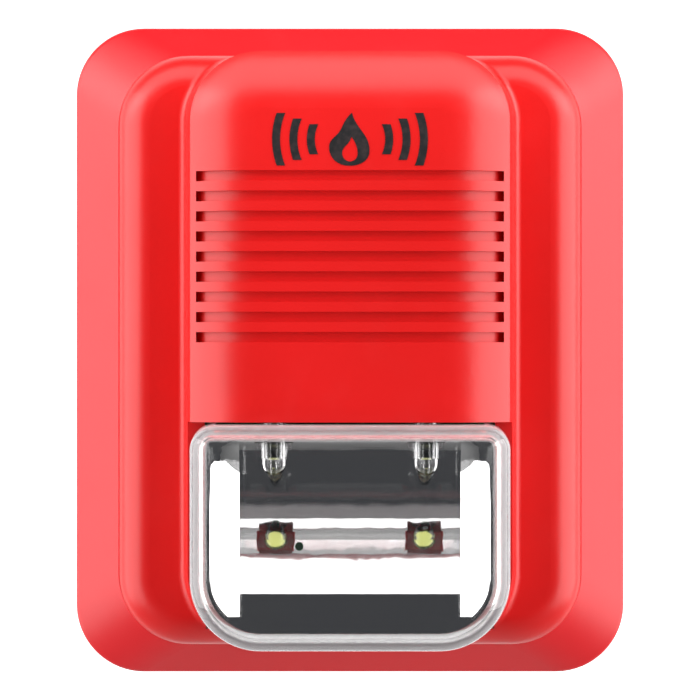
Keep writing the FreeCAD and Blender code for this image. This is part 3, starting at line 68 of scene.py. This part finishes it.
class Shop:
    """A material under construction: adds nodes and ends in one Principled shader."""

    def __init__(self, name, **constants):
        self.material = bpy.data.materials.new(name)
        self.material.use_nodes = True
        self.tree = self.material.node_tree
        self.shader = self.tree.nodes["Principled BSDF"]
        self.set(**constants)

    def set(self, **values):
        """Constants and links on the shader's own sockets."""
        for key, value in values.items():
            self.plug(self.shader.inputs[key.replace("_", " ")], value)

    def plug(self, socket, value):
        if isinstance(value, Wire):
            self.tree.links.new(value.socket, socket)
        else:
            socket.default_value = value

    def add(self, kind, settings=None, inputs=None, output=0):
        """One node: its settings first, then the values or links of its sockets."""
        node = self.tree.nodes.new(kind)
        for key, value in (settings or {}).items():
            setattr(node, key, value)
        for key, value in (inputs or {}).items():
            self.plug(node.inputs[key], value)
        return Wire(self, node.outputs[output])

    def place(self):
        """Where a surface point is, in metres on the object."""
        return self.add("ShaderNodeTexCoord", output="Object")

    def noise(self, scale, detail=2.0, where=None, roughness=0.5):
        """Cloudy noise, with scale in features per metre."""
        inputs = {"Vector": where or self.place(), "Scale": scale, "Detail": detail, "Roughness": roughness}
        return self.add("ShaderNodeTexNoise", None, inputs, output="Fac")

    def stretch(self, x, y, z):
        """The place, squeezed differently along each axis."""
        inputs = {0: self.place(), 1: (x, y, z)}
        return self.add("ShaderNodeVectorMath", {"operation": "MULTIPLY"}, inputs, output="Vector")

    def band(self, value, low, high):
        """0 under low, 1 over high and straight between."""
        inputs = {"Value": value, "From Min": low, "From Max": high}
        return self.add("ShaderNodeMapRange", {"clamp": True}, inputs)

    def blend(self, share, first, second):
        """Mixes two colours by a share from 0 to 1."""
        return self.add("ShaderNodeMix", {"data_type": "RGBA"}, {0: share, 6: first, 7: second}, output=2)

    def bump(self, height, distance):
        """A normal pushed about by a height, with distance in metres."""
        inputs = {"Height": height, "Distance": distance, "Strength": 1.0}
        return self.add("ShaderNodeBump", None, inputs, output="Normal")

    def edges(self, low=0.55, high=0.75):
        """1 on outer edges, where handling rubs a moulding."""
        return self.band(self.add("ShaderNodeNewGeometry", output="Pointiness"), low, high)

    def axis(self, vector, name):
        """One coordinate of a vector."""
        return self.add("ShaderNodeSeparateXYZ", None, {0: vector}, output=name)

    def across(self):
        """The place as seen from the front, for patterns that lie flat against the wall."""
        place = self.place()
        return self.add("ShaderNodeCombineXYZ", None, {0: self.axis(place, "X"), 1: self.axis(place, "Z")},
                        output="Vector")

    def facing(self, name):
        """How far the surface leans along one axis of the object, from 0 to 1."""
        normal = self.add("ShaderNodeNewGeometry", output="Normal")
        return self.axis(normal, name).math("ABSOLUTE")

    def layer(self, share, **constants):
        """Lays a second Principled shader over the first by a share from 0 to 1."""
        first = self.shader
        self.shader = self.tree.nodes.new("ShaderNodeBsdfPrincipled")
        self.set(**constants)
        mix = self.add("ShaderNodeMixShader", None, {0: share}, output="Shader")
        self.tree.links.new(first.outputs["BSDF"], mix.socket.node.inputs[1])
        self.tree.links.new(self.shader.outputs["BSDF"], mix.socket.node.inputs[2])
        self.tree.links.new(mix.socket, self.tree.nodes["Material Output"].inputs["Surface"])


print("shader helpers ready")

# %% [markdown]
# ## Moulded red plastic
# Both shells are ABS, moulded and satin. The base plate comes from another batch and mould than
# the head, so its red leans to pink. Colour alone looks like paint, so the formula adds what a
# moulding shows up close: faint flow clouds, a fine spark-eroded grain that breaks up the
# highlight, specks, and duller patches where hands and packing rubbed.


# %% The red plastics
def red_plastic(name, tone, cloud, grain, dull):
    shop = Shop(name, IOR=1.5, Specular_IOR_Level=0.5)
    flow = shop.noise(26, 3)
    fine = shop.noise(1500, 2)
    speck = shop.band(shop.noise(5200, 1), 0.70, 0.78)
    rub = shop.band(shop.noise(90, 5, roughness=0.65), 0.52, 0.74)
    worn = shop.edges() * rub
    shade = shop.blend(shop.band(flow, 0.3, 0.7), tone, cloud)
    shade = shop.blend(speck * 0.25, shade, (tone[0] * 0.55, tone[1] * 0.4, tone[2] * 0.4, 1))
    shade = shop.blend(worn * 0.3, shade, (tone[0], tone[1] + 0.03, tone[2] + 0.03, 1))
    shop.set(Base_Color=shade, Roughness=(dull + fine * 0.06 + rub * 0.05).clamped())
    shop.set(Normal=shop.bump(fine + shop.noise(420, 2) * 0.6, grain))
    return shop.material


cover_red = red_plastic("cover_red_plastic", (0.72, 0.009, 0.009, 1), (0.66, 0.008, 0.007, 1),
                        grain=0.000012, dull=0.30)
base_red = red_plastic("base_red_plastic", (0.72, 0.009, 0.015, 1), (0.66, 0.008, 0.012, 1),
                       grain=0.000016, dull=0.34)
print("red plastics", cover_red.name, base_red.name)

# %% [markdown]
# ## Clear and mirrored pieces
# The lens is thick clear polycarbonate, so it bends light. Its front is polished, and its side
# walls carry a light frost that glows pale under the studio lights. A second shader laid over
# the clear one wherever the surface turns away from the front gives that, and a faint glow in it
# stands for the light that a thick clear moulding pipes to its edges. The share is kept low,
# because much frost makes the lens look like a white cap from the side. The reflector is plastic
# with a vapour-deposited metal film: a true mirror with a slight orange peel.


# %% Clear polycarbonate, clear epoxy and the mirror
def clear_plastic(name, index, ripple, haze):
    shop = Shop(name, IOR=index, Transmission_Weight=1.0, Base_Color=(1, 1, 1, 1))
    swirl = shop.noise(60, 2)
    scuff = shop.band(shop.noise(900, 4, where=shop.stretch(1, 1, 0.15)), 0.62, 0.8)
    shop.set(Roughness=(haze + scuff * 0.05).clamped(), Normal=shop.bump(swirl, ripple))
    return shop


def lens_plastic(name):
    """The lens: a polished front face, and side walls with a fine moulded frost."""
    shop = clear_plastic(name, 1.585, 0.00002, 0.0)
    frost = shop.noise(2400, 3)
    upright = 1.0 - shop.band(shop.facing("Y"), 0.2, 0.75)
    shop.layer(upright * 0.26, Roughness=0.4, IOR=1.585, Emission_Strength=0.12,
               Emission_Color=(1.0, 0.93, 0.95, 1))
    shop.set(Base_Color=shop.blend(frost, (0.97, 0.93, 0.94, 1), (0.90, 0.86, 0.88, 1)))
    return shop.material


def mirror_film(name):
    shop = Shop(name, Metallic=1.0)
    peel = shop.noise(140, 2)
    film = shop.noise(35, 3)
    pits = shop.band(shop.noise(2600, 1), 0.72, 0.8)
    shade = shop.blend(film, (0.86, 0.86, 0.88, 1), (0.93, 0.92, 0.90, 1))
    shade = shop.blend(pits * 0.5, shade, (0.5, 0.5, 0.52, 1))
    shop.set(Base_Color=shade, Roughness=(0.03 + pits * 0.2 + film * 0.03).clamped())
    shop.set(Normal=shop.bump(peel, 0.00006))
    return shop.material


def ink(name, tone):
    """Pad-printed ink: flat, thin, and a little worn at random."""
    shop = Shop(name, IOR=1.45)
    film = shop.noise(700, 4)
    shop.set(Base_Color=shop.blend(shop.band(film, 0.45, 0.75) * 0.5, tone, (0.05, 0.03, 0.03, 1)))
    shop.set(Roughness=(film * 0.2 + 0.35).clamped(), Normal=shop.bump(film, 0.00001))
    return shop.material


print_black = ink("print_black", (0.012, 0.011, 0.012, 1))
lens_clear = lens_plastic("lens_clear")
epoxy_clear = clear_plastic("led_epoxy", 1.53, 0.00001, 0.0).material
collar_clear = clear_plastic("led_collar_clear", 1.49, 0.00003, 0.08).material
mirror = mirror_film("reflector_mirror")
print("clear and mirror materials ready")

# %% [markdown]
# ## Metals
# The screws and clamps are zinc-plated steel, the contacts are brass and the light legs are tinned.
# Metal is told apart by its tint and by the marks that made it: drawn wire has long fine lines,
# plating has soft clouds, and brass browns where air reaches it.


# %% Plated, drawn and tarnished metals
def metal(name, tone, stain, lines, rough):
    shop = Shop(name, Metallic=1.0)
    drawn = shop.noise(lines, 2, where=shop.stretch(1, 0.06, 1))
    cloud = shop.band(shop.noise(160, 4), 0.4, 0.7)
    spots = shop.band(shop.noise(1900, 2), 0.68, 0.76)
    shade = shop.blend(cloud * 0.4, tone, stain)
    shade = shop.blend(spots * 0.4, shade, (stain[0] * 0.5, stain[1] * 0.45, stain[2] * 0.4, 1))
    shop.set(Base_Color=shade, Roughness=(rough + drawn * 0.12 + spots * 0.2).clamped())
    shop.set(Normal=shop.bump(drawn, 0.00001))
    return shop.material


zinc = metal("plated_steel", (0.72, 0.73, 0.72, 1), (0.60, 0.60, 0.55, 1), 1400, 0.24)
clamp_zinc = metal("clamp_steel", (0.66, 0.64, 0.56, 1), (0.55, 0.50, 0.38, 1), 900, 0.32)
brass = metal("contact_brass", (0.80, 0.62, 0.28, 1), (0.55, 0.38, 0.16, 1), 1100, 0.26)
tin = metal("lead_tin", (0.80, 0.80, 0.79, 1), (0.66, 0.66, 0.64, 1), 1600, 0.20)
print("metals", zinc.name, clamp_zinc.name, brass.name, tin.name)

# %% [markdown]
# ## Inner plastics
# Inside, each plastic keeps the plain colour of its trade: a grey terminal block, white nylon
# plugs, a blue switch and black horn and chips. They share a recipe and differ in tone, gloss and
# grain, since all are injection moulded and only the mould's finish changes.


# %% Moulded inner plastics
def moulded(name, tone, pale, rough, grain):
    shop = Shop(name, IOR=1.5)
    fine = shop.noise(1700, 3)
    cloud = shop.band(shop.noise(70, 3), 0.35, 0.7)
    dust = shop.band(shop.noise(3400, 1), 0.70, 0.78)
    shade = shop.blend(cloud * 0.6 + shop.edges() * 0.3, tone, pale)
    shade = shop.blend(dust * 0.3, shade, (0.5, 0.48, 0.45, 1))
    shop.set(Base_Color=shade, Roughness=(rough + fine * 0.1 + dust * 0.1).clamped())
    shop.set(Normal=shop.bump(fine, grain))
    return shop.material


terminal_grey = moulded("terminal_plastic", (0.055, 0.057, 0.06, 1), (0.09, 0.09, 0.095, 1), 0.42, 0.00001)
nylon = moulded("plug_nylon", (0.78, 0.76, 0.70, 1), (0.84, 0.82, 0.77, 1), 0.38, 0.000006)
switch_blue = moulded("switch_blue", (0.02, 0.09, 0.38, 1), (0.03, 0.12, 0.45, 1), 0.35, 0.000006)
horn_black = moulded("horn_black", (0.015, 0.015, 0.016, 1), (0.03, 0.03, 0.031, 1), 0.40, 0.00002)
chip_black = moulded("chip_black", (0.02, 0.02, 0.021, 1), (0.035, 0.035, 0.036, 1), 0.55, 0.00001)
print("inner plastics ready")

# %% [markdown]
# ## Rubber, foam and wire sleeves
# The lens seal is dense rubber and the horn's gasket and seal are foam. Foam is open: small cells
# make it drink light, so its bump is a Voronoi pattern of pits, and its colour carries painted
# shade at the bottom of each pit. Wire sleeves are smooth PVC.


# %% Soft materials
def foam(name, tone, cell):
    shop = Shop(name, IOR=1.4, Specular_IOR_Level=0.2)
    pits = shop.add("ShaderNodeTexVoronoi", None, {"Vector": shop.place(), "Scale": cell},
                    output="Distance")
    cloud = shop.noise(150, 3)
    # Painted shade: the colour darkens towards the bottom of each pit, varied by a cloud.
    shop.set(Base_Color=shop.blend(pits * cloud, (tone[0] * 0.4, tone[1] * 0.4, tone[2] * 0.4, 1), tone))
    shop.set(Roughness=(cloud * 0.1 + 0.85).clamped(), Normal=shop.bump(pits, 0.00012))
    return shop.material


def sleeve(name, tone, pale):
    shop = Shop(name, IOR=1.53)
    smear = shop.noise(500, 3)
    shop.set(Base_Color=shop.blend(shop.band(smear, 0.4, 0.75), tone, pale))
    shop.set(Roughness=(smear * 0.15 + 0.32).clamped(), Normal=shop.bump(smear, 0.00002))
    return shop.material


seal_rubber = foam("seal_rubber", (0.03, 0.03, 0.032, 1), 4200)
foam_black = foam("foam_black", (0.045, 0.045, 0.047, 1), 1500)
lead_red = sleeve("lead_red", (0.50, 0.015, 0.012, 1), (0.60, 0.03, 0.02, 1))
lead_black = sleeve("lead_black", (0.012, 0.012, 0.013, 1), (0.03, 0.03, 0.031, 1))
print("soft materials ready")

# %% [markdown]
# ## Circuit boards and small parts
# A board is woven glass under green lacquer, with copper tracks that show through as paler
# paths. A brick pattern gives right-angled tracks and a fine wave gives the weave. The lights'
# phosphor turns blue light yellow, and it is given a faint painted glow, though the lights are off.


# %% Boards, coil, capacitor, resistors, ceramic and phosphor
def board(name):
    shop = Shop(name, IOR=1.5, Coat_Roughness=0.15)
    tracks = shop.add("ShaderNodeTexBrick", None,
                      {"Vector": shop.across(), "Scale": 90.0, "Mortar Size": 0.035}, output="Fac")
    weave = shop.add("ShaderNodeTexWave", None, {"Vector": shop.place(), "Scale": 900.0, "Distortion": 1.5},
                     output="Fac")
    cloud = shop.noise(60, 3)
    lacquer = shop.blend(cloud, (0.01, 0.11, 0.035, 1), (0.015, 0.15, 0.05, 1))
    shop.set(Base_Color=shop.blend(tracks * 0.6, lacquer, (0.05, 0.26, 0.08, 1)))
    shop.set(Roughness=(cloud * 0.15 + 0.3).clamped(), Coat_Weight=(cloud * 0.3 + 0.2).clamped())
    shop.set(Normal=shop.bump(weave * 0.3 + tracks, 0.00002))
    return shop.material


def winding(name):
    shop = Shop(name, Metallic=0.9)
    turns_and_shade = shop.add("ShaderNodeTexWave", {"bands_direction": "Y"},
                     {"Vector": shop.place(), "Scale": 500.0}, output="Fac")
    cloud = shop.noise(300, 2)
    # The colour runs from dark copper between the turns to bright copper on them: painted shade in the
    # creases, varied by a cloud.
    shop.set(Base_Color=shop.blend(turns_and_shade * cloud, (0.28, 0.09, 0.03, 1), (0.75, 0.33, 0.14, 1)))
    shop.set(Roughness=(cloud * 0.15 + 0.22).clamped(), Normal=shop.bump(turns_and_shade, 0.00008))
    return shop.material


def speckled(name, tone, fleck, size, rough, glow=0.0):
    """A fine-grained body: ferrite, ceramic, lacquered resistor or phosphor."""
    # A glow above 0 is painted light: the body shines of its own accord.
    shop = Shop(name, IOR=1.6, Emission_Color=tone, Emission_Strength=glow)
    grain = shop.noise(size, 4)
    fired = shop.band(shop.noise(size * 0.15, 3), 0.4, 0.7)
    shop.set(Base_Color=shop.blend(shop.band(grain, 0.5, 0.7) * 0.5 + fired * 0.3, tone, fleck))
    shop.set(Roughness=(grain * 0.15 + rough).clamped(), Normal=shop.bump(grain, 0.00001))
    return shop.material


board_green = board("board_green")
copper_wire = winding("copper_wire")
ferrite = speckled("ferrite", (0.045, 0.043, 0.042, 1), (0.10, 0.095, 0.09, 1), 2600, 0.5)
capacitor_sleeve = speckled("capacitor_sleeve", (0.01, 0.02, 0.07, 1), (0.02, 0.035, 0.10, 1), 900, 0.3)
resistor_body = speckled("resistor_body", (0.55, 0.42, 0.26, 1), (0.42, 0.30, 0.18, 1), 2200, 0.35)
piezo_ceramic = speckled("piezo_ceramic", (0.78, 0.74, 0.62, 1), (0.62, 0.56, 0.42, 1), 1800, 0.4)
# The phosphor's glow is painted light: the lights are off, yet it shines yellow.
phosphor = speckled("phosphor_yellow", (0.78, 0.80, 0.42, 1), (0.70, 0.74, 0.36, 1), 3200, 0.6, glow=0.4)
print("boards and small parts ready")

# %% [markdown]
# ## Dressing the nodes
# Each material goes on every node made of it. A count against the frame shows that none is left
# in its plain CAD colour.

# %% Which node is made of what
TERMINALS = range(1, 5)
MADE_OF = [
    (cover_red, ["front_cover"]),
    (base_red, ["base_plate"]),
    (lens_clear, ["strobe_lens"]),
    (mirror, ["strobe_reflector"]),
    (print_black, ["printed_sign"]),
    (epoxy_clear, ["led_left", "led_right"]),
    (collar_clear, ["led_holder_left", "led_holder_right"]),
    (tin, ["led_leads"]),
    (phosphor, ["led_phosphors"]),
    (seal_rubber, ["lens_seal"]),
    (foam_black, ["horn_gasket", "horn_seal"]),
    (terminal_grey, ["terminal_housing"]),
    (zinc, ["terminal_block_screws", "reflector_screws", "lamp_board_screws"]),
    (zinc, ["board_screws", "horn_screws"]),
    (zinc, ["terminal_screw_%d" % number for number in TERMINALS]),
    (clamp_zinc, ["wire_clamp_%d" % number for number in TERMINALS]),
    (brass, ["contact_clips", "contact_pins", "horn_diaphragm"]),
    (board_green, ["lamp_board", "main_circuit_board"]),
    (lead_red, ["lamp_lead_red"]),
    (lead_black, ["lamp_lead_black", "piezo_leads"]),
    (nylon, ["lamp_plug", "lamp_socket", "dip_slider_1", "dip_slider_2"]),
    (switch_blue, ["dip_switch_housing"]),
    (capacitor_sleeve, ["capacitor"]),
    (ferrite, ["inductor_core"]),
    (copper_wire, ["inductor_winding"]),
    (chip_black, ["driver_chip", "transistor"]),
    (resistor_body, ["resistors", "diodes"]),
    (horn_black, ["horn_body", "horn_back_cap"]),
    (piezo_ceramic, ["piezo_disc"]),
]


def dress(node, material):
    """Puts one material on a CAD node, in place of all it came with."""
    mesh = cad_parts[node].data
    mesh.materials.clear()
    mesh.materials.append(material)


dressed = [node for material, nodes in MADE_OF for node in nodes]
for material, nodes in MADE_OF:
    for node in nodes:
        dress(node, material)
print("dressed", len(dressed), "left plain", sorted(set(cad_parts) - set(dressed)))

# %% [markdown]
# ## Studio
# Two tall softboxes stand left and right and reach a little behind the object, and a narrow strip
# hangs just above it and faces down. Faces that point at the camera see only the dark room, so
# they stay deep red, and every slope and rounding picks up a broad pale highlight. The right box
# is slightly stronger than the left.

# %% Lights
CENTRE = Vector((0, -20 * MM, 0))


def softbox(name, place, width, height, power):
    light = bpy.data.lights.new(name, "AREA")
    light.shape, light.size, light.size_y, light.energy = "RECTANGLE", width, height, power
    lamp = bpy.data.objects.new(name, light)
    lamp.location = place
    lamp.rotation_euler = (CENTRE - Vector(place)).to_track_quat("-Z", "Y").to_euler()
    lamp.visible_camera = False
    bpy.context.scene.collection.objects.link(lamp)
    return lamp


SIDE_OUT, SIDE_FORWARD, SIDE_UP = 1.0, -0.28, 0.05
SIDE_WIDTH, SIDE_HEIGHT = 1.5, 1.3
softbox("left_softbox", (-SIDE_OUT, SIDE_FORWARD, SIDE_UP), SIDE_WIDTH, SIDE_HEIGHT, 20)
softbox("right_softbox", (SIDE_OUT, SIDE_FORWARD, SIDE_UP), SIDE_WIDTH, SIDE_HEIGHT, 22)
top = softbox("top_strip", (0, -0.10, 0.14), 0.9, 0.13, 1.0)
top.rotation_euler = (0, 0, 0)
print("three softboxes")

# %% [markdown]
# ## Room
# A real studio has a pale floor and backdrop, and they also light the object a little. The
# backdrop glows white behind it. The floor lies well below, so that little light bounces up.

# %% Room
world = bpy.data.worlds.new("studio")
bpy.context.scene.world = world
world.use_nodes = True
world.node_tree.nodes["Background"].inputs["Color"].default_value = (0.9, 0.93, 1.0, 1)
world.node_tree.nodes["Background"].inputs["Strength"].default_value = 0.06


def sheet(name, corners, colour, glow):
    """A flat piece of the studio, from its four corners."""
    mesh = bpy.data.meshes.new(name)
    mesh.from_pydata(corners, [], [(0, 1, 2, 3)])
    thing = bpy.data.objects.new(name, mesh)
    bpy.context.scene.collection.objects.link(thing)
    shop = Shop(name, Base_Color=colour, Roughness=0.9, Emission_Color=(1, 1, 1, 1), Emission_Strength=glow)
    mesh.materials.append(shop.material)
    return thing


FAR_WALL, FLOOR, REACH = 2.2, -1.7, 4.0
left, right = (-REACH, FAR_WALL), (REACH, FAR_WALL)
sheet("backdrop", [(*left, FLOOR), (*right, FLOOR), (*right, REACH), (*left, REACH)],
      (0.9, 0.9, 0.9, 1), 1.0)
sheet("floor", [(-REACH, -REACH, FLOOR), (REACH, -REACH, FLOOR), (*right, FLOOR), (*left, FLOOR)],
      (0.8, 0.8, 0.79, 1), 0.0)
print("room ready")

# %% [markdown]
# ## Camera
# The view is straight on, from 0.9 m off the wall, so the column's top overlaps the step behind
# it by perspective.

# %% Camera
CAMERA_DISTANCE = 0.9
VIEW_WIDTH = 156.4 * MM
SENSOR = 36.0
camera_data = bpy.data.cameras.new("camera")
camera_data.sensor_width = SENSOR
camera_data.lens = SENSOR * CAMERA_DISTANCE / VIEW_WIDTH
camera = bpy.data.objects.new("camera", camera_data)
camera.location = (0, -CAMERA_DISTANCE, 0)
camera.rotation_euler = (math.pi / 2, 0, 0)
bpy.context.scene.collection.objects.link(camera)
bpy.context.scene.camera = camera
bpy.context.scene.view_settings.view_transform = "Standard"
print("lens", round(camera_data.lens, 1), "mm")
